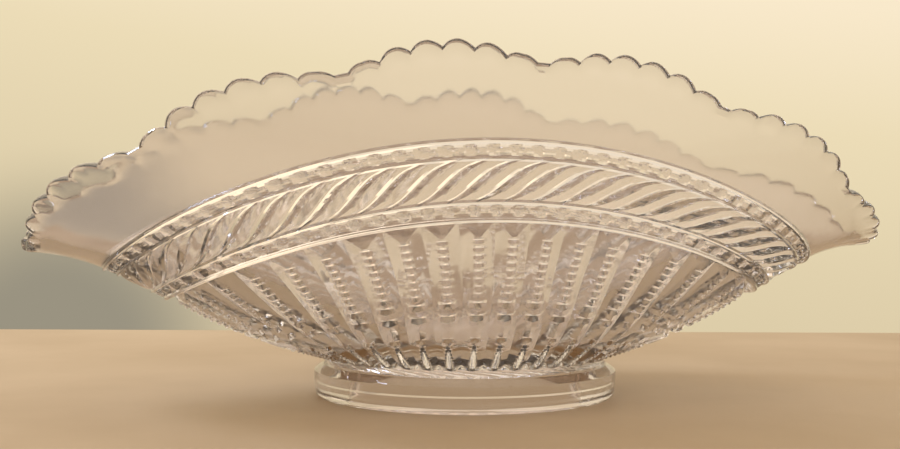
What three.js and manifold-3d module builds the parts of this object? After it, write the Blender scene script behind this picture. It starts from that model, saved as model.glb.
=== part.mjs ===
// Oval boat-shaped bowl of clear pressed glass on a round collar foot.
// The glass is pressed round, then shaped oval while hot: the sides fold up and the ends droop.
// Millimetres, +Z up, the length along X, the foot centred on the origin.
import * as THREE from 'three';
import { mergeVertices } from 'three/addons/utils/BufferGeometryUtils.js';
import Module from 'manifold-3d';

// Collar foot
const footRadius = 49.5;
const footHeight = 12.6;
const footBoreRadius = 38;
const footSideHeight = 8.2;
const footEdgeRound = 1.8;
const neckRadius = 46;

// Pressed wall, measured on its outer face before shaping
const shoulderRadius = 85.9;
const shoulderHeight = 45.1;
const neckSteepness = 0.36;
const swellReach = 11.5;
const wallLength = 106.1;
const neckWall = 7;
const rimWall = 4;
const floorWall = 6;

// Shaping of the hot glass
const rimHalfLength = 143.3;
const bodyStretch = 0.121;
const rimHalfWidth = 71.3;
const sideFold = 1.65;
const shapedRadius = 76;
const sideLift = 23.4;
const endSkew = 1.1;
const lipDroop = 12.6;
const lipReach = 5;
const lipSharpness = 14;
const patternCrowding = 0.119;

// Mitre ridges round the lower wall
const ridgeCount = 45;
const mitreDepth = 2.6;
const hipLength = 4.9;
const ridgeTurn = THREE.MathUtils.degToRad(-1.5);
const tierWays = [21, 25.4];
const tierGap = 1.4;
const tierDepth = 0.9;

// Raised rings that part the bands, measured up from the shoulder
const lowerBeadBand = 5.3;
const leafBand = 12.4;
const upperBeadBand = 5.3;
const ringWidth = 1.8;
const ringHeight = 0.9;

// Slanting S-curved leaves pressed between the middle rings, their sweep in leaf pitches
const leafCount = 64;
const leafBulge = 1.5;
const leafGroove = 1;
const leafLean = 0.9;
const leafHook = 0.43;
const bandSeat = 0.6;
const bandRoot = 2.4;

// Lobed and scalloped rim
const lobeCount = 12;
const scallopsPerLobe = 6;
const scallopShare = 0.156;
const lobeRise = 4.6;
const scallopDepth = 2.4;
const lobeTurn = THREE.MathUtils.degToRad(4.8);

// Facets
const wallColumns = 2 * ridgeCount;
const scallopFacets = 4;

// The outer face of the pressed wall as one curve: a swelling lower wall, then a straight flare
const neckPoint = new THREE.Vector2(neckRadius, footHeight);
const shoulderPoint = new THREE.Vector2(shoulderRadius, shoulderHeight);
const swellPoint = new THREE.Vector2(neckRadius + swellReach, footHeight + neckSteepness * swellReach);
const lowerWall = new THREE.QuadraticBezierCurve(neckPoint, swellPoint, shoulderPoint);
const shoulderWay = lowerWall.getLength();
const flareDirection = shoulderPoint.clone().sub(swellPoint).normalize();
const rimRadius = shoulderRadius + (wallLength - shoulderWay) * flareDirection.x;

// Ways up the wall at which the rings sit
const ringWays = [shoulderWay];
for (const band of [lowerBeadBand, leafBand, upperBeadBand]) ringWays.push(ringWays.at(-1) + band);

function pressedPoint(way) {
  if (way <= shoulderWay) return lowerWall.getPointAt(Math.max(way, 0) / shoulderWay);
  return shoulderPoint.clone().addScaledVector(flareDirection, way - shoulderWay);
}

// Carries a point of the round pressing, at radius, height and angle, to its place on the oval bowl
function shaped(radius, height, angle) {
  const rise = Math.max(0, (radius - neckRadius) / (rimRadius - neckRadius));
  const give = THREE.MathUtils.smoothstep(radius, neckRadius, shapedRadius);
  const turn = angle + patternCrowding * give * Math.sin(2 * angle);
  const lip = rise ** lipReach;
  const stretch = 1 + give * THREE.MathUtils.lerp(bodyStretch, rimHalfLength / rimRadius - 1, lip);
  const squeeze = 1 - give * (1 - rimHalfWidth / rimRadius) * rise ** sideFold;
  const fold = rise * (sideLift * Math.cos(2 * turn) - endSkew * Math.cos(3 * turn));
  const droop = fold + lip * lipDroop * Math.cos(turn) ** lipSharpness;
  return new THREE.Vector3(
    radius * stretch * Math.cos(turn),
    radius * squeeze * Math.sin(turn),
    height - droop,
  );
}

function facePoint(angle, way) {
  const point = pressedPoint(way);
  return shaped(point.x, point.y, angle);
}

// A point at a given angle and way up the wall, sunk square to the outer face by depth
function wallPoint(angle, way, depth) {
  const step = 0.01;
  const point = facePoint(angle, way);
  const up = facePoint(angle, way + step).sub(facePoint(angle, Math.max(way - step, 0)));
  const around = facePoint(angle + step, way).sub(facePoint(angle - step, way));
  return point.addScaledVector(around.cross(up).normalize(), -depth);
}

const wallAt = (way) => THREE.MathUtils.lerp(neckWall, rimWall, way / wallLength);

const wasm = await Module();
wasm.setup();

function solid(geometry) {
  geometry.deleteAttribute('normal');
  geometry.deleteAttribute('uv');
  const merged = mergeVertices(geometry, 1e-4);
  const corners = [];
  for (let i = 0; i < merged.index.count; i += 3) {
    const [a, b, c] = [0, 1, 2].map((k) => merged.index.getX(i + k));
    if (a !== b && b !== c && c !== a) corners.push(a, b, c);
  }
  return new wasm.Manifold(new wasm.Mesh({
    numProp: 3,
    vertProperties: new Float32Array(merged.attributes.position.array),
    triVerts: new Uint32Array(corners),
  }));
}

// A closed band round the bowl: turned as a straight sleeve, then laid on the wall.
// outline lists [way, depth] pairs, and relief moves a point of one column and row.
function wallBand(columns, outline, relief = (angle, way, depth) => [angle, way, depth]) {
  const sleeve = outline.map(([way, depth]) => new THREE.Vector2(neckRadius - depth, way));
  sleeve.push(sleeve[0].clone());
  const band = new THREE.LatheGeometry(sleeve, columns);
  const at = band.attributes.position;
  for (let i = 0; i < at.count; i++) {
    const column = Math.floor(i / sleeve.length) % columns;
    const row = i % sleeve.length % outline.length;
    const angle = column / columns * 2 * Math.PI;
    const spot = wallPoint(...relief(angle, ...outline[row], column, row));
    at.setXYZ(i, spot.x, spot.y, spot.z);
  }
  return band;
}

// Turns the diagonal of every second column, so both sides of a ridge fold alike
function mirrorDiagonals(band, rows) {
  const corners = band.index;
  for (let quad = 0; quad < corners.count / 6; quad++) {
    if (Math.floor(quad / rows) % 2) continue;
    const [a, b, d, c] = [0, 1, 2, 3].map((k) => corners.getX(quad * 6 + k));
    [a, b, c, a, c, d].forEach((corner, k) => corners.setX(quad * 6 + k, corner));
  }
  return band;
}

// The wall: mitre ridges with sunk valleys that run out in points under the first ring, the raised
// rings, the plain flare, and the smooth inside
function wall() {
  const half = ringWidth / 2;
  const top = shoulderWay - half;
  const cuts = tierWays.flatMap((way) => [way - tierGap, way, way + tierGap]);
  const mitreWays = [0, ...cuts, (cuts.at(-1) + top) / 2, top - hipLength, top];
  const outer = mitreWays.map((way) => [way, 0]);
  ringWays.forEach((way, ring) => {
    if (ring > 0) outer.push([way - half, 0]);
    outer.push([way, -ringHeight], [way + half, 0]);
  });
  outer.push([(ringWays.at(-1) + wallLength) / 2, 0], [wallLength + rimWall, 0]);
  const inner = [0.07, 0.15, 0.25, 0.37, 0.52, 0.68, 0.84].map((share) => share * wallLength);
  const inside = [0, ...inner, wallLength + rimWall].reverse().map((way) => [way, wallAt(way)]);
  const relief = (angle, way, depth, column, row) => {
    const valley = column % 2 && row < mitreWays.length - 1;
    const tier = tierWays.includes(way);
    const sunk = valley ? mitreDepth * pressedPoint(way).x / shoulderRadius : tier ? tierDepth : depth;
    return [angle + ridgeTurn, way, sunk];
  };
  return mirrorDiagonals(wallBand(wallColumns, [...outer, ...inside], relief), outer.length + inside.length);
}

// Leaves that lean over as they rise, bulging over the wall and parted by grooves. The row is rooted
// in the wall, and its ends dive under the rings.
function leafRow() {
  const [low, high] = [ringWays[1], ringWays[2]];
  const outline = [0, 0.2, 0.4, 0.6, 0.8, 1].map((share) => {
    const swell = 1 - (2 * share - 1) ** 2;
    return [THREE.MathUtils.lerp(low, high, share), swell > 0 ? -leafBulge * swell : bandSeat];
  });
  outline.push([high, bandRoot], [low, bandRoot]);
  const relief = (angle, way, depth, column) => {
    const across = THREE.MathUtils.mapLinear(way, low, high, -1, 1);
    const sweep = leafLean * across + leafHook * across ** 5;
    const groove = column % 2 && depth < 0 ? leafGroove * Math.sqrt(-depth / leafBulge) : 0;
    return [angle + sweep / leafCount * 2 * Math.PI, way, depth + groove];
  };
  return wallBand(2 * leafCount, outline, relief);
}

// How far the rim lies below its highest line, at a share of one lobe from -0.5 to 0.5
function rimDrop(share) {
  const scallop = share / scallopShare + scallopsPerLobe / 2;
  const inGap = scallop < 0 || scallop > scallopsPerLobe;
  const swing = inGap ? 1 : 2 * (scallop - Math.min(Math.floor(scallop), scallopsPerLobe - 1)) - 1;
  const outermost = scallopShare * (scallopsPerLobe - 1) / 2;
  return lobeRise * Math.min(Math.abs(share) / outermost, 1) ** 2 + scallopDepth * swing ** 2;
}

// What the rim leaves outside: everything above its lobed and scalloped line
function beyondRim() {
  const perLobe = scallopsPerLobe * scallopFacets + 1;
  const clear = 2 * rimWall;
  const outline = [[0, -clear], [clear * 2, -clear], [clear * 2, clear * 2], [0, clear * 2]];
  const relief = (angle, way, depth, column, row) => {
    const lobe = Math.floor(column / perLobe);
    const share = (column % perLobe / scallopFacets - scallopsPerLobe / 2) * scallopShare;
    const lineAngle = (lobe + 0.5 + share) / lobeCount * 2 * Math.PI + lobeTurn;
    const low = row === 0 || row === 3;
    return [lineAngle, wallLength + (low ? -rimDrop(share) : way), depth];
  };
  return wallBand(lobeCount * perLobe, outline, relief);
}

// Floor of the bowl, flat underneath where it sits on the foot
function floorDish() {
  const seatRise = footHeight + floorWall;
  const outline = [[0, footHeight], [neckRadius, footHeight], [neckRadius + 1, seatRise], [0, seatRise]];
  const dish = new THREE.LatheGeometry(outline.map(([r, z]) => new THREE.Vector2(r, z)), wallColumns);
  return dish.rotateX(Math.PI / 2);
}

function collarFoot() {
  const profile = new THREE.Path();
  const boreRound = footEdgeRound / 2;
  profile.moveTo(footBoreRadius + boreRound, 0);
  profile.lineTo(footRadius - footEdgeRound, 0);
  profile.absarc(footRadius - footEdgeRound, footEdgeRound, footEdgeRound, -Math.PI / 2, 0, false);
  profile.lineTo(footRadius, footSideHeight);
  profile.lineTo(neckRadius, footHeight);
  profile.lineTo(footBoreRadius, footHeight);
  profile.lineTo(footBoreRadius, boreRound);
  profile.lineTo(footBoreRadius + boreRound, 0);
  const foot = new THREE.LatheGeometry(profile.getPoints(2), wallColumns);
  return foot.rotateX(Math.PI / 2);
}

function asGeometry(manifold) {
  const mesh = manifold.getMesh();
  const geometry = new THREE.BufferGeometry();
  geometry.setAttribute('position', new THREE.BufferAttribute(new Float32Array(mesh.vertProperties), 3));
  geometry.setIndex(new THREE.BufferAttribute(new Uint32Array(mesh.triVerts), 1));
  geometry.computeVertexNormals();
  return geometry;
}

const bowlSolid = solid(wall()).add(solid(floorDish())).add(solid(leafRow())).subtract(solid(beyondRim()));

const bowlGlass = new THREE.MeshStandardMaterial({ color: 0xe9e2d0, roughness: 0.06, metalness: 0 });
const footGlass = new THREE.MeshStandardMaterial({ color: 0xdfd6c2, roughness: 0.08, metalness: 0 });

const bowl = new THREE.Mesh(asGeometry(bowlSolid), bowlGlass);
bowl.name = 'bowl';
const foot = new THREE.Mesh(asGeometry(solid(collarFoot())), footGlass);
foot.name = 'foot_ring';

const part = new THREE.Group();
part.add(bowl, foot);

export default part;
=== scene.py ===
import math
import bpy
import numpy as np
from mathutils import Matrix


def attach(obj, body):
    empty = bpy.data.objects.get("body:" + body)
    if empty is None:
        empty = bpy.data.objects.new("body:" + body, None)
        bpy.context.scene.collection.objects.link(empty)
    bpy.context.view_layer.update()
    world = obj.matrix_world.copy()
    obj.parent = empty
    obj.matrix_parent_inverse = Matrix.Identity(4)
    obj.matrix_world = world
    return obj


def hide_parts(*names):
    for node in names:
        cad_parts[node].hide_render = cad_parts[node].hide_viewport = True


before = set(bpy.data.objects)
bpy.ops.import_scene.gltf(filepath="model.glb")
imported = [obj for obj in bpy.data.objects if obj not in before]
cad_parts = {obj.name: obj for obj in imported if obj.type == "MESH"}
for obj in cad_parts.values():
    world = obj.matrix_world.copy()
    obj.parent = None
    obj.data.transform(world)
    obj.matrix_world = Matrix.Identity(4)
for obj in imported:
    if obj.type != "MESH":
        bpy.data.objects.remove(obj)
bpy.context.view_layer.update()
MM = 0.001


# Camera: a phone held low in front of the bowl's long side, turned a little so that the left end
# comes nearer. Its place was worked out from the foot, the rings and the rim line.
PHOTO_WIDTH, PHOTO_HEIGHT = 900, 449
FOCAL_PIXELS = 1200
MIDDLE_PIXEL = (465.1, 222.9)
CAMERA_TURN = 0.178
CAMERA_ROLL = 0.003
CAMERA_DISTANCE = 397.2 * MM
CAMERA_HEIGHT = 56.1 * MM
SENSOR_WIDTH = 36

camera_data = bpy.data.cameras.new("photo_camera")
camera_data.sensor_width = SENSOR_WIDTH
camera_data.lens = FOCAL_PIXELS / PHOTO_WIDTH * SENSOR_WIDTH
camera_data.clip_start = 0.01
camera = bpy.data.objects.new("photo_camera", camera_data)
bpy.context.collection.objects.link(camera)
aim_left = (MIDDLE_PIXEL[0] - PHOTO_WIDTH / 2) / FOCAL_PIXELS
aim_down = (PHOTO_HEIGHT / 2 - MIDDLE_PIXEL[1]) / FOCAL_PIXELS
stand = Matrix.Translation((
    -CAMERA_DISTANCE * math.sin(CAMERA_TURN), -CAMERA_DISTANCE * math.cos(CAMERA_TURN), CAMERA_HEIGHT))
aim = Matrix.Rotation(aim_left - CAMERA_TURN, 4, "Z") @ Matrix.Rotation(math.pi / 2 - aim_down, 4, "X")
camera.matrix_world = stand @ aim @ Matrix.Rotation(CAMERA_ROLL, 4, "Z")
bpy.context.scene.camera = camera
bpy.context.scene.view_settings.view_transform = "Standard"


# Table: a pale polished stone top whose level back edge lies a little behind the bowl, part of the
# studio and not of the bowl. Its faint clouds are about 90 mm across. Seen through the glass it keeps
# its lit tone, which the bowl's own shadow would take from it.
TABLE_BACK = 214 * MM
TABLE_SIDE = 900 * MM
TABLE_THICKNESS = 30 * MM
TABLE_PALE = "#C4A884"
TABLE_DEEP = "#B89B76"
TABLE_CLOUD = 90 * MM
CLOUD_LOW, CLOUD_HIGH = 0.35, 0.65
TABLE_ROUGHNESS = 0.55
TABLE_SEEN = 0.7


def linear(hex_colour):
    """The linear RGBA of an sRGB hex value."""
    parts = [int(hex_colour[i:i + 2], 16) / 255 for i in (1, 3, 5)]
    return (*[c / 12.92 if c <= 0.04045 else ((c + 0.055) / 1.055) ** 2.4 for c in parts], 1)


def node(tree, kind, values=None, links=None, **settings):
    """Adds a shader node, with its settings, socket values and incoming links."""
    new = tree.nodes.new(kind)
    for name, value in settings.items():
        setattr(new, name, value)
    for socket, value in (values or {}).items():
        new.inputs[socket].default_value = value
    for socket, source in (links or {}).items():
        tree.links.new(source, new.inputs[socket])
    return new


bpy.ops.object.select_all(action="DESELECT")
bpy.ops.mesh.primitive_cube_add(size=1, location=(0, TABLE_BACK - TABLE_SIDE, -TABLE_THICKNESS / 2),
                                scale=(2 * TABLE_SIDE, 2 * TABLE_SIDE, TABLE_THICKNESS))
table = bpy.context.object
table.name = "table"
table.rotation_euler.z = -CAMERA_TURN
bpy.ops.object.transform_apply(location=True, rotation=True, scale=True)
stone = bpy.data.materials.new("pale_polished_stone")
stone.use_nodes = True
stone_nodes = stone.node_tree
stone_place = node(stone_nodes, "ShaderNodeTexCoord").outputs["Object"]
clouds = node(stone_nodes, "ShaderNodeTexNoise",
              {"Scale": 1 / TABLE_CLOUD, "Detail": 5}, {"Vector": stone_place})
clouding = node(stone_nodes, "ShaderNodeMapRange",
                {"From Min": CLOUD_LOW, "From Max": CLOUD_HIGH}, {"Value": clouds.outputs[0]})
stone_colour = node(stone_nodes, "ShaderNodeMix", {"A": linear(TABLE_DEEP), "B": linear(TABLE_PALE)},
                    {"Factor": clouding.outputs["Result"]}, data_type="RGBA").outputs["Result"]
stone_shader = stone_nodes.nodes["Principled BSDF"]
stone_shader.inputs["Roughness"].default_value = TABLE_ROUGHNESS
stone_nodes.links.new(stone_colour, stone_shader.inputs["Base Color"])
stone_seen = node(stone_nodes, "ShaderNodeEmission", {"Strength": TABLE_SEEN}, {"Color": stone_colour})
through_glass = node(stone_nodes, "ShaderNodeLightPath").outputs["Is Transmission Ray"]
stone_view = node(stone_nodes, "ShaderNodeMixShader",
                  links={0: through_glass, 1: stone_shader.outputs[0], 2: stone_seen.outputs[0]})
stone_nodes.links.new(stone_view.outputs[0], stone_nodes.nodes["Material Output"].inputs["Surface"])
table.data.materials.append(stone)


# Studio light: a plain cream room, lighter towards the top and the right, with one soft grey shadow
# low on the left. A broad warm lamp hangs high behind the bowl on the left, and a small cool one
# beside it gives the relief its glints.
ROOM_SLOPE = (0.32, 0.0, 2.2)
ROOM_LEVEL = 0.3
ROOM_SPAN = 2.5
ROOM_COLOURS = (
    (0.1, "#D8C8A4"), (0.36, "#E1D1AD"), (0.6, "#ECDCB7"), (0.82, "#F9E9CB"), (2.4, "#FFF5E0"))
SHADOW_PLACE = (-0.15, 0.98, -0.1)
SHADOW_CORE = 0.05
SHADOW_REACH = 0.17
SHADOW_COLOUR = "#9A9381"
FILL_WHITE = "#FFF6E8"
FILL_STRENGTH = 0.88

world = bpy.data.worlds.new("cream_room")
bpy.context.scene.world = world
world.use_nodes = True
sky = world.node_tree
sky.nodes.clear()
outward = node(sky, "ShaderNodeTexCoord").outputs["Generated"]
slope = node(sky, "ShaderNodeVectorMath", {1: ROOM_SLOPE}, {0: outward}, operation="DOT_PRODUCT")
lightness = node(sky, "ShaderNodeMath", {1: ROOM_LEVEL}, {0: slope.outputs["Value"]}, operation="ADD")
along_room = node(sky, "ShaderNodeMath", {1: ROOM_SPAN}, {0: lightness.outputs[0]}, operation="DIVIDE")
room = node(sky, "ShaderNodeValToRGB", links={"Fac": along_room.outputs[0]})
stops = room.color_ramp.elements
for stop in ROOM_COLOURS[2:]:
    stops.new(1)
for stop, (level, colour) in zip(stops, ROOM_COLOURS):
    stop.position = level / ROOM_SPAN
    stop.color = linear(colour)
from_shadow = node(sky, "ShaderNodeVectorMath", {1: SHADOW_PLACE}, {0: outward}, operation="DISTANCE")
clear_of_shadow = node(sky, "ShaderNodeMapRange", {"From Min": SHADOW_CORE, "From Max": SHADOW_REACH},
                       {"Value": from_shadow.outputs["Value"]}, interpolation_type="SMOOTHSTEP")
backdrop = node(sky, "ShaderNodeMix", {"A": linear(SHADOW_COLOUR)},
                {"Factor": clear_of_shadow.outputs["Result"], "B": room.outputs["Color"]},
                data_type="RGBA")
shown = node(sky, "ShaderNodeBackground", links={"Color": backdrop.outputs["Result"]})
fill = node(sky, "ShaderNodeBackground", {"Color": linear(FILL_WHITE), "Strength": FILL_STRENGTH})
path = node(sky, "ShaderNodeLightPath").outputs
mirrored = node(sky, "ShaderNodeMath",
                links={0: path["Is Camera Ray"], 1: path["Is Glossy Ray"]}, operation="MAXIMUM")
seen = node(sky, "ShaderNodeMath",
            links={0: mirrored.outputs[0], 1: path["Is Transmission Ray"]}, operation="MAXIMUM")
blend = node(sky, "ShaderNodeMixShader",
             links={0: seen.outputs[0], 1: fill.outputs[0], 2: shown.outputs[0]})
node(sky, "ShaderNodeOutputWorld", links={"Surface": blend.outputs[0]})


def soft_lamp(name, size, watts, colour, place):
    """A square area lamp turned to the bowl."""
    lamp_data = bpy.data.lights.new(name, "AREA")
    lamp_data.size = size
    lamp_data.energy = watts
    lamp_data.color = linear(colour)[:3]
    lamp = bpy.data.objects.new(name, lamp_data)
    bpy.context.collection.objects.link(lamp)
    lamp.location = place
    lamp.rotation_euler = (math.atan2(math.hypot(place[0], place[1]), place[2]), 0,
                           math.atan2(place[1], place[0]) + math.pi / 2)


soft_lamp("ceiling_softbox", 2.0, 6.5, "#FFE6C0", (-0.84, 1.6, 1.42))
soft_lamp("window_glint", 0.5, 16, "#C8DCFF", (-1.5, 0.8, 1.42))


# Bowl body: clear soda-lime glass, pressed round in an iron mould and folded into an oval while hot.
# The blank is measured up its outer wall from the neck. Folding lifts the sides and lets the ends
# droop. Every row of points below goes round the bowl, and the rows are skinned at the end.
NECK_RADIUS = 46.0
NECK_HEIGHT = 12.6
SWELL_REACH = 11.5
NECK_STEEPNESS = 0.36
SHOULDER_RADIUS = 85.9
SHOULDER_HEIGHT = 45.1
WALL_LENGTH = 106.1
NECK_WALL = 7.0
RIM_WALL = 4.0
RIM_HALF_LENGTH = 143.3
BODY_STRETCH = 0.121
RIM_HALF_WIDTH = 71.3
SIDE_FOLD = 1.65
SHAPED_RADIUS = 76.0
SIDE_LIFT = 23.4
END_SKEW = 1.1
LIP_DROOP = 12.6
LIP_REACH = 5
LIP_SHARPNESS = 14
PATTERN_CROWDING = 0.119
FULL_TURN = 2 * math.pi
CURVE_POINTS = 400
COLUMNS = 630

neck_point = np.array([NECK_RADIUS, NECK_HEIGHT])
swell_point = neck_point + SWELL_REACH * np.array([1, NECK_STEEPNESS])
shoulder_point = np.array([SHOULDER_RADIUS, SHOULDER_HEIGHT])
along = np.linspace(0, 1, CURVE_POINTS)[:, None]
lower_wall = (1 - along) ** 2 * neck_point + 2 * along * (1 - along) * swell_point
lower_wall += along ** 2 * shoulder_point
lower_ways = np.append(0, np.cumsum(np.hypot(*np.diff(lower_wall, axis=0).T)))
SHOULDER_WAY = lower_ways[-1]
flare_direction = (shoulder_point - swell_point) / math.dist(shoulder_point, swell_point)
RIM_RADIUS = SHOULDER_RADIUS + (WALL_LENGTH - SHOULDER_WAY) * flare_direction[0]


def smooth(low, high, value):
    """Rises gently from 0 at low to 1 at high."""
    share = np.clip((value - low) / (high - low), 0, 1)
    return share * share * (3 - 2 * share)


def blank_point(way):
    """Radius and height on the round blank's outer face, at a way up the wall."""
    beyond = np.maximum(way - SHOULDER_WAY, 0)
    radius = np.interp(way, lower_ways, lower_wall[:, 0]) + beyond * flare_direction[0]
    height = np.interp(way, lower_ways, lower_wall[:, 1]) + beyond * flare_direction[1]
    return radius, height


def fold(radius, height, angle):
    """Where a point of the round blank lies once the glass is folded."""
    rise = np.maximum(0, (radius - NECK_RADIUS) / (RIM_RADIUS - NECK_RADIUS))
    give = smooth(NECK_RADIUS, SHAPED_RADIUS, radius)
    turn = angle + PATTERN_CROWDING * give * np.sin(2 * angle)
    lip = rise ** LIP_REACH
    stretch = 1 + give * (BODY_STRETCH + (RIM_HALF_LENGTH / RIM_RADIUS - 1 - BODY_STRETCH) * lip)
    squeeze = 1 - give * (1 - RIM_HALF_WIDTH / RIM_RADIUS) * rise ** SIDE_FOLD
    droop = rise * (SIDE_LIFT * np.cos(2 * turn) - END_SKEW * np.cos(3 * turn))
    droop += lip * LIP_DROOP * np.cos(turn) ** LIP_SHARPNESS
    long_way = radius * stretch * np.cos(turn)
    cross_way = radius * squeeze * np.sin(turn)
    return np.stack([long_way, cross_way, height - droop], axis=-1)


def wall_point(angle, way, height):
    """A point of the wall, raised square to its outer face by height. A minus height is sunk."""
    step = 0.02
    up = fold(*blank_point(way + step), angle) - fold(*blank_point(np.maximum(way - step, 0)), angle)
    around = fold(*blank_point(way), angle + step) - fold(*blank_point(way), angle - step)
    square = np.cross(around, up)
    square /= np.linalg.norm(square, axis=-1, keepdims=True)
    return fold(*blank_point(way), angle) + square * height[..., None]


def marked_columns(repeats, shares, start=0.0):
    """Angles of the columns, the nearest ones moved onto the marks of a pattern's repeats."""
    marks = (np.arange(repeats)[:, None] + np.asarray(shares)).ravel() / repeats * FULL_TURN
    marks = (marks + start) % FULL_TURN
    marks.sort()
    nearest = np.round(marks / FULL_TURN * COLUMNS)
    laps = np.array([[-1], [0], [1]])
    marked = (nearest + laps * COLUMNS).ravel()
    return np.interp(np.arange(COLUMNS), marked, (marks + laps * FULL_TURN).ravel())


rows = []


def lay_rows(ways, angles, relief):
    """Adds rows up the outer wall: their ways, column angles and pressed relief."""
    for way in ways:
        level_way = np.full(COLUMNS, float(way))
        rows.append(wall_point(angles, level_way, relief(angles, level_way)))


# Mitre ridges: 45 sharp pressed ridges round the lower wall. Under the first ring they end in sloping
# hips, and the V valleys between them in points. Rows of V notches cross every arris: fine ones low
# down, three wide bars, and coarser ones above.
RING_HALF = 0.9
RING_HEIGHT = 0.88
RIDGES = 45
RIDGE_TURN = math.radians(-1.5)
MITRE_DEPTH = 2.6
MITRE_START = 1.5
HIP_LENGTH = 4.9
HIP_ROWS = (0.12, 0.4, 0.7, 0.93)
NOTCH_MARGIN = 0.3
NOTCH_ROWS = [(2.0 + 1.45 * k, 0.7, 0.7) for k in range(7)]
NOTCH_ROWS += [(13.2, 1.0, 1.0), (21.0, 1.2, 1.5), (25.4, 1.2, 1.3)]
NOTCH_ROWS += [(28.6 + 2.4 * k, 0.9, 0.85) for k in range(8)]
UNNOTCHED_ROWS = [0, 0.6, 17.0, 23.2]
ACROSS_RIDGE = np.array([0, 0.1, 0.2, 0.32, 0.46, 0.62, 0.8, 1])
MITRE_TOP = SHOULDER_WAY - RING_HALF


def mitre_relief(angle, way):
    """Relief of valleys, hips and notches. A notch cuts only what stands higher than its floor."""
    share = (angle - RIDGE_TURN) / FULL_TURN * RIDGES
    from_arris = 2 * np.abs(share - np.round(share))
    depth = MITRE_DEPTH * blank_point(way)[0] / SHOULDER_RADIUS * smooth(-1, MITRE_START, way)
    near_ring = 1 - np.clip((MITRE_TOP - way) / HIP_LENGTH, 0, 1)
    valley = -depth * np.maximum(from_arris, near_ring)
    notch = 0
    for middle, half, deep in NOTCH_ROWS:
        notch = notch + deep * np.clip(1 - np.abs(way - middle) / half, 0, 1)
    return np.minimum(valley, -notch)


hip_start = MITRE_TOP - HIP_LENGTH
mitre_ways = list(UNNOTCHED_ROWS)
for middle, half, deep in NOTCH_ROWS:
    mitre_ways += [middle - half, middle, middle + half]
mitre_ways = sorted(way for way in mitre_ways if way < hip_start - NOTCH_MARGIN)
mitre_ways.append(hip_start)


def ridge_columns(from_arris):
    """Angles of the columns, from their places between an arris at 0 and a valley at 1."""
    shares = np.append(from_arris / 2, 1 - from_arris[-2:0:-1] / 2)
    angles = (np.arange(RIDGES)[:, None] + shares).ravel() / RIDGES * FULL_TURN + RIDGE_TURN
    return np.roll(angles, round(RIDGE_TURN / FULL_TURN * COLUMNS))


lay_rows(mitre_ways, ridge_columns(ACROSS_RIDGE), mitre_relief)
for near_ring in HIP_ROWS:
    across_hip = np.append(0, np.linspace(near_ring, 1, len(ACROSS_RIDGE) - 1))
    lay_rows([MITRE_TOP - HIP_LENGTH * (1 - near_ring)], ridge_columns(across_hip), mitre_relief)
mitre_rows = len(rows)


# Rings, beads and leaves: four raised rings part a hollow band of round beads, a band of slanting
# S-curved leaves, each tilted a little, with V grooves between them, and a second band of beads.
# All are pressed with the wall and shaped with it.
RING_WAYS = SHOULDER_WAY + np.cumsum([0, 5.3, 12.4, 5.3])
RING_STEPS = RING_HALF * np.array([-1, -0.6, 0, 0.6, 1])
BEAD_SHARES = np.array([0.22, 0.34, 0.45, 0.55, 0.66, 0.78])
LOWER_BEADS = 77
LOWER_BEAD_MARKS = [-0.29, -0.2, 0, 0.2, 0.29, 0.5]
UPPER_BEADS = 88
UPPER_BEAD_MARKS = [-0.3, -0.2, 0, 0.2, 0.3, 0.5]
BEAD_RADIUS = 1.9
BEAD_SPREAD = 1.2
BEAD_HEIGHT = 0.95
HOLLOW_DEPTH = 0.55
LEAVES = 64
LEAF_MARKS = [0, 0.31, 0.5, 0.69]
LEAF_ROWS = np.linspace(-0.9, 0.9, 12)
LEAF_BULGE = 0.4
LEAF_TILT = 1.0
GROOVE_DEPTH = 1.9
GROOVE_SHARE = 0.24
LEAF_LEAN = 0.9
LEAF_HOOK = 0.43


def ring_relief(angle, way):
    """Relief of the raised rings, rounded over."""
    from_ring = np.min([np.abs(way - ring) for ring in RING_WAYS], axis=0) / RING_HALF
    return RING_HEIGHT * np.clip(1 - from_ring ** 2, 0, 1)


def bead_relief(ring, count):
    """Relief of a row of round beads in the hollow over a ring."""
    middle = (RING_WAYS[ring] + RING_WAYS[ring + 1]) / 2
    half = (RING_WAYS[ring + 1] - RING_WAYS[ring]) / 2 - RING_HALF

    def relief(angle, way):
        share = angle / FULL_TURN * count
        across = (share - np.round(share)) * FULL_TURN / count * blank_point(way)[0]
        reach = np.clip(np.hypot(across / BEAD_SPREAD, way - middle) / BEAD_RADIUS, 0, 1)
        hollow = HOLLOW_DEPTH * np.clip(1 - ((way - middle) / half) ** 4, 0, 1)
        return BEAD_HEIGHT * np.sqrt(1 - reach ** 2) - hollow
    return relief


def leaf_sweep(across):
    """How far a leaf has swept round at -1 to 1 across the band, as an angle."""
    return (LEAF_LEAN * (across + 1) + LEAF_HOOK * (across ** 5 + 1)) / LEAVES * FULL_TURN


def leaf_relief(angle, way):
    """Relief of the leaves and grooves, which run out at the rings."""
    across = 2 * (way - RING_WAYS[1]) / (RING_WAYS[2] - RING_WAYS[1]) - 1
    share = (angle - leaf_sweep(across)) / FULL_TURN * LEAVES
    past_groove = (share + 0.5) % 1
    from_groove = np.minimum(past_groove, 1 - past_groove)
    swell = np.clip(1 - across ** 2, 0, 1)
    groove = GROOVE_DEPTH * np.clip(np.sqrt(swell) - from_groove / GROOVE_SHARE, 0, 1)
    return LEAF_BULGE * swell + LEAF_TILT * np.sqrt(swell) * (0.5 - past_groove) - groove


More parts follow.
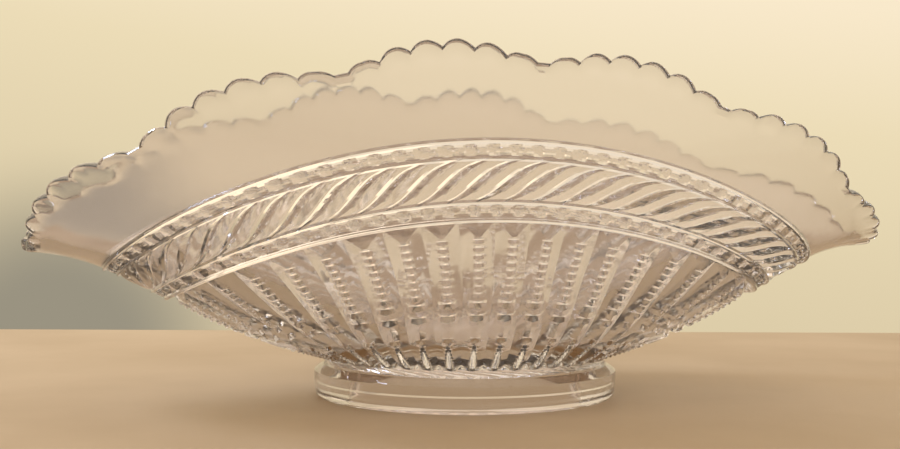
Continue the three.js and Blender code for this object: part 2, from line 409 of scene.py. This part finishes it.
lower_beads = marked_columns(LOWER_BEADS, LOWER_BEAD_MARKS)
lower_bead_ways = RING_WAYS[0] + BEAD_SHARES * (RING_WAYS[1] - RING_WAYS[0])
lay_rows(RING_WAYS[0] + RING_STEPS, lower_beads, ring_relief)
lay_rows(lower_bead_ways, lower_beads, bead_relief(0, LOWER_BEADS))
lay_rows(RING_WAYS[1] + RING_STEPS[:3], lower_beads, ring_relief)
for across in LEAF_ROWS:
    way = (RING_WAYS[1] + RING_WAYS[2] + across * (RING_WAYS[2] - RING_WAYS[1])) / 2
    lay_rows([way], marked_columns(LEAVES, LEAF_MARKS) + leaf_sweep(across), leaf_relief)
swept = leaf_sweep(1)
upper_beads = marked_columns(UPPER_BEADS, UPPER_BEAD_MARKS, -swept) + swept
upper_bead_ways = RING_WAYS[2] + BEAD_SHARES * (RING_WAYS[3] - RING_WAYS[2])
lay_rows(RING_WAYS[2] + RING_STEPS[2:], upper_beads, ring_relief)
lay_rows(upper_bead_ways, upper_beads, bead_relief(2, UPPER_BEADS))
lay_rows(RING_WAYS[3] + RING_STEPS, upper_beads, ring_relief)


# Flare and rim: the plain upper wall, and its edge in twelve lobes of six scallops, rounded over by
# the fire that polished it. The rows run level until just under the scallops, which keeps the flare
# smooth.
LOBES = 12
SCALLOPS = 6
SCALLOP_SHARE = 0.156
LOBE_RISE = 4.6
SCALLOP_DEPTH = 2.4
LOBE_TURN = math.radians(4.8)
EDGE_RADIUS = RIM_WALL / 2
EDGE_RISE = 1.5
EDGE_SQUARING = 0.7
EDGE_STEPS = 7
FLARE_ROWS = (0.14, 0.32, 0.5, 0.67, 0.84, 1)


def rim_drop(angle):
    """How far the rim lies under its highest line."""
    lobe = (angle - LOBE_TURN) / FULL_TURN * LOBES
    share = lobe - np.floor(lobe) - 0.5
    scallop = share / SCALLOP_SHARE + SCALLOPS / 2
    swing = 2 * (scallop - np.clip(np.floor(scallop), 0, SCALLOPS - 1)) - 1
    outermost = SCALLOP_SHARE * (SCALLOPS - 1) / 2
    lobe_drop = LOBE_RISE * np.clip(np.abs(share) / outermost, 0, 1) ** 2
    return lobe_drop + SCALLOP_DEPTH * np.clip(np.abs(swing), 0, 1) ** 2


scallop_marks = [0.5 + (edge - SCALLOPS / 2) * SCALLOP_SHARE for edge in range(SCALLOPS + 1)]
rim_columns = marked_columns(LOBES, scallop_marks, LOBE_TURN - swept) + swept
edge_ways = WALL_LENGTH - rim_drop(rim_columns) - EDGE_RISE
flare_low = RING_WAYS[3] + RING_HALF
level_top = edge_ways.min() - EDGE_RADIUS
for share in FLARE_ROWS:
    columns = upper_beads + (rim_columns - upper_beads) * share
    level_way = np.full(COLUMNS, flare_low + share * (level_top - flare_low))
    rows.append(wall_point(columns, level_way, np.zeros(COLUMNS)))
for share in (0.5, 1):
    rows.append(wall_point(rim_columns, level_top + share * (edge_ways - level_top), np.zeros(COLUMNS)))
for roll in np.linspace(0, math.pi, EDGE_STEPS + 1)[1:]:
    sunk = EDGE_RADIUS * (math.copysign(abs(math.cos(roll)) ** EDGE_SQUARING, math.cos(roll)) - 1)
    crest = EDGE_RISE * math.sin(roll) ** EDGE_SQUARING
    rows.append(wall_point(rim_columns, edge_ways + crest, np.full(COLUMNS, sunk)))


# Inside: the plunger's smooth face, which keeps the wall's thickness down to a rounded corner and a
# flat floor.
FLOOR_HEIGHT = 18.6
FLOOR_RADIUS = 34.0
FLOOR_MIDDLE = 15
CORNER_RADIUS = NECK_RADIUS - 3
INSIDE_ROWS = (1, 0.86, 0.73, 0.6, 0.48, 0.37, 0.27, 0.18, 0.1)
CORNER_ROWS = (0.33, 0.67, 1)

inside_ways = [(edge_ways + level_top) / 2]
inside_ways += [np.full(COLUMNS, share * level_top) for share in INSIDE_ROWS]
for way in inside_ways:
    thickness = NECK_WALL + (RIM_WALL - NECK_WALL) * way / WALL_LENGTH
    rows.append(wall_point(rim_columns, way, -thickness))


def flat_ring(radius, height):
    """A level circle of points, on the columns' angles."""
    level = np.full(COLUMNS, height)
    return np.stack([radius * np.cos(rim_columns), radius * np.sin(rim_columns), level], axis=-1)


above_corner = rows[-1]
corner = flat_ring(CORNER_RADIUS, FLOOR_HEIGHT)
floor_edge = flat_ring(FLOOR_RADIUS, FLOOR_HEIGHT)
for share in CORNER_ROWS:
    rounding = (1 - share) ** 2 * above_corner + 2 * share * (1 - share) * corner
    rows.append(rounding + share ** 2 * floor_edge)
rows.append(flat_ring(FLOOR_MIDDLE, FLOOR_HEIGHT))
rows.append(flat_ring(0, FLOOR_HEIGHT))


# Foot: a collar of the same glass, joined to the body while hot, with a short smooth neck, a sloping
# shoulder, a fine line round its side, a rounded resting ring and a recess under the floor. Its
# profile runs down the outside and up the recess, and it is skinned with the body.
FOOT_RADIUS = 49.5
FOOT_SIDE = 8.2
FOOT_ROUND = 1.8
FOOT_NECK = 10.4
SEAM_HEIGHT = 5.1
SEAM_DEPTH = 0.15
FOOT_TAPER = 0.4
RECESS_RADIUS = 38.0
BORE_ROUND = 0.9
RECESS_ROUND = 3
QUARTER = np.linspace(0, math.pi / 2, 4)

seam_radius = FOOT_RADIUS - SEAM_DEPTH
tapered_radius = FOOT_RADIUS - FOOT_TAPER
foot_profile = [
    (NECK_RADIUS + 0.05, FOOT_NECK + 0.7), (NECK_RADIUS + 0.4, FOOT_NECK),
    (NECK_RADIUS + 1.2, FOOT_NECK - 0.4), (FOOT_RADIUS - 0.6, FOOT_SIDE + 0.7),
    (FOOT_RADIUS - 0.1, FOOT_SIDE + 0.2), (FOOT_RADIUS, FOOT_SIDE - 0.4),
    (FOOT_RADIUS, SEAM_HEIGHT + 0.6), (seam_radius, SEAM_HEIGHT),
    (seam_radius, SEAM_HEIGHT - 0.5), (tapered_radius, FOOT_ROUND + 0.7)]
for turn in QUARTER:
    inward = FOOT_ROUND * (1 - math.cos(turn))
    foot_profile.append((tapered_radius - inward, FOOT_ROUND * (1 - math.sin(turn))))
for turn in QUARTER:
    outside_bore = BORE_ROUND * (1 - math.sin(turn))
    foot_profile.append((RECESS_RADIUS + outside_bore, BORE_ROUND * (1 - math.cos(turn))))
foot_profile += [
    (RECESS_RADIUS, BORE_ROUND + 0.7), (RECESS_RADIUS, NECK_HEIGHT - RECESS_ROUND - 1.2),
    (RECESS_RADIUS - RECESS_ROUND, NECK_HEIGHT - 0.6), (20, NECK_HEIGHT - 0.4), (0, NECK_HEIGHT - 0.3)]
foot_rows = [flat_ring(radius, height) for radius, height in reversed(foot_profile)]
rows = foot_rows + rows


# Skin: a grid with a row for every ring of points, rolled up round the bowl, its seam and its two
# poles merged. Each point remembers its row through the merging. Only sharp edges show, except among
# the mitre ridges, where much flatter ones are kept too, so that every facet is seen.
MERGE_GAP = 1e-6
SHARP_EDGE = math.radians(48)
SHARP_MITRE_EDGE = math.radians(14)

points = np.array(rows)
bpy.ops.object.select_all(action="DESELECT")
bpy.ops.mesh.primitive_grid_add(x_subdivisions=COLUMNS, y_subdivisions=len(rows) - 1, size=1)
bowl = bpy.context.object
bowl.name = "bowl_glass"
bowl.data.name = "bowl_glass"
points = np.concatenate([points, points[:, :1]], axis=1) * MM
bowl.data.vertices.foreach_set("co", points.ravel())
row_of = bowl.data.attributes.new("row", "FLOAT", "POINT")
row_of.data.foreach_set("value", np.repeat(np.arange(len(rows)), COLUMNS + 1).astype(float))
bpy.ops.object.mode_set(mode="EDIT")
bpy.ops.mesh.select_all(action="SELECT")
bpy.ops.mesh.remove_doubles(threshold=MERGE_GAP)
bpy.ops.mesh.normals_make_consistent(inside=False)
bpy.ops.object.mode_set(mode="OBJECT")
bpy.ops.object.shade_smooth_by_angle(angle=SHARP_EDGE)
row_of = np.empty(len(bowl.data.vertices))
bowl.data.attributes["row"].data.foreach_get("value", row_of)
bowl.data.attributes.remove(bowl.data.attributes["row"])
in_mitre = (row_of >= len(foot_rows)) & (row_of < len(foot_rows) + mitre_rows)
for face in bowl.data.polygons:
    face.select = bool(in_mitre[list(face.vertices)].all())
bpy.ops.object.mode_set(mode="EDIT")
bpy.ops.mesh.select_mode(type="FACE")
bpy.ops.mesh.hide(unselected=True)
bpy.ops.mesh.select_mode(type="EDGE")
bpy.ops.mesh.select_all(action="DESELECT")
bpy.ops.mesh.edges_select_sharp(sharpness=SHARP_MITRE_EDGE)
bpy.ops.mesh.mark_sharp()
bpy.ops.mesh.reveal()
bpy.ops.object.mode_set(mode="OBJECT")

# Clear soda-lime glass with the faint grey-pink cast of old pressed ware. Fire polishing leaves
# shallow waves about 8 mm across, and the mould a trace of haze.
GLASS_CAST = "#FBF6F7"
GLASS_IOR = 1.5
GLASS_CLEARNESS = 0.96
GLASS_WAVE = 8 * MM
WAVE_HEIGHT = 0.03 * MM
HAZE_LOW, HAZE_HIGH = 0.035, 0.09

glass = bpy.data.materials.new("clear_pressed_glass")
glass.use_nodes = True
glass_nodes = glass.node_tree
glass_place = node(glass_nodes, "ShaderNodeTexCoord").outputs["Object"]
waves = node(glass_nodes, "ShaderNodeTexNoise",
             {"Scale": 1 / GLASS_WAVE, "Detail": 1}, {"Vector": glass_place})
polish = node(glass_nodes, "ShaderNodeBump", {"Distance": WAVE_HEIGHT}, {"Height": waves.outputs[0]})
haze = node(glass_nodes, "ShaderNodeMapRange",
            {"To Min": HAZE_LOW, "To Max": HAZE_HIGH}, {"Value": waves.outputs[0]})
shader = glass_nodes.nodes["Principled BSDF"]
shader.inputs["Base Color"].default_value = linear(GLASS_CAST)
shader.inputs["IOR"].default_value = GLASS_IOR
shader.inputs["Transmission Weight"].default_value = GLASS_CLEARNESS
glass_nodes.links.new(haze.outputs["Result"], shader.inputs["Roughness"])
glass_nodes.links.new(polish.outputs["Normal"], shader.inputs["Normal"])
bowl.data.materials.append(glass)
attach(bowl, "root")
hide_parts("bowl", "foot_ring")
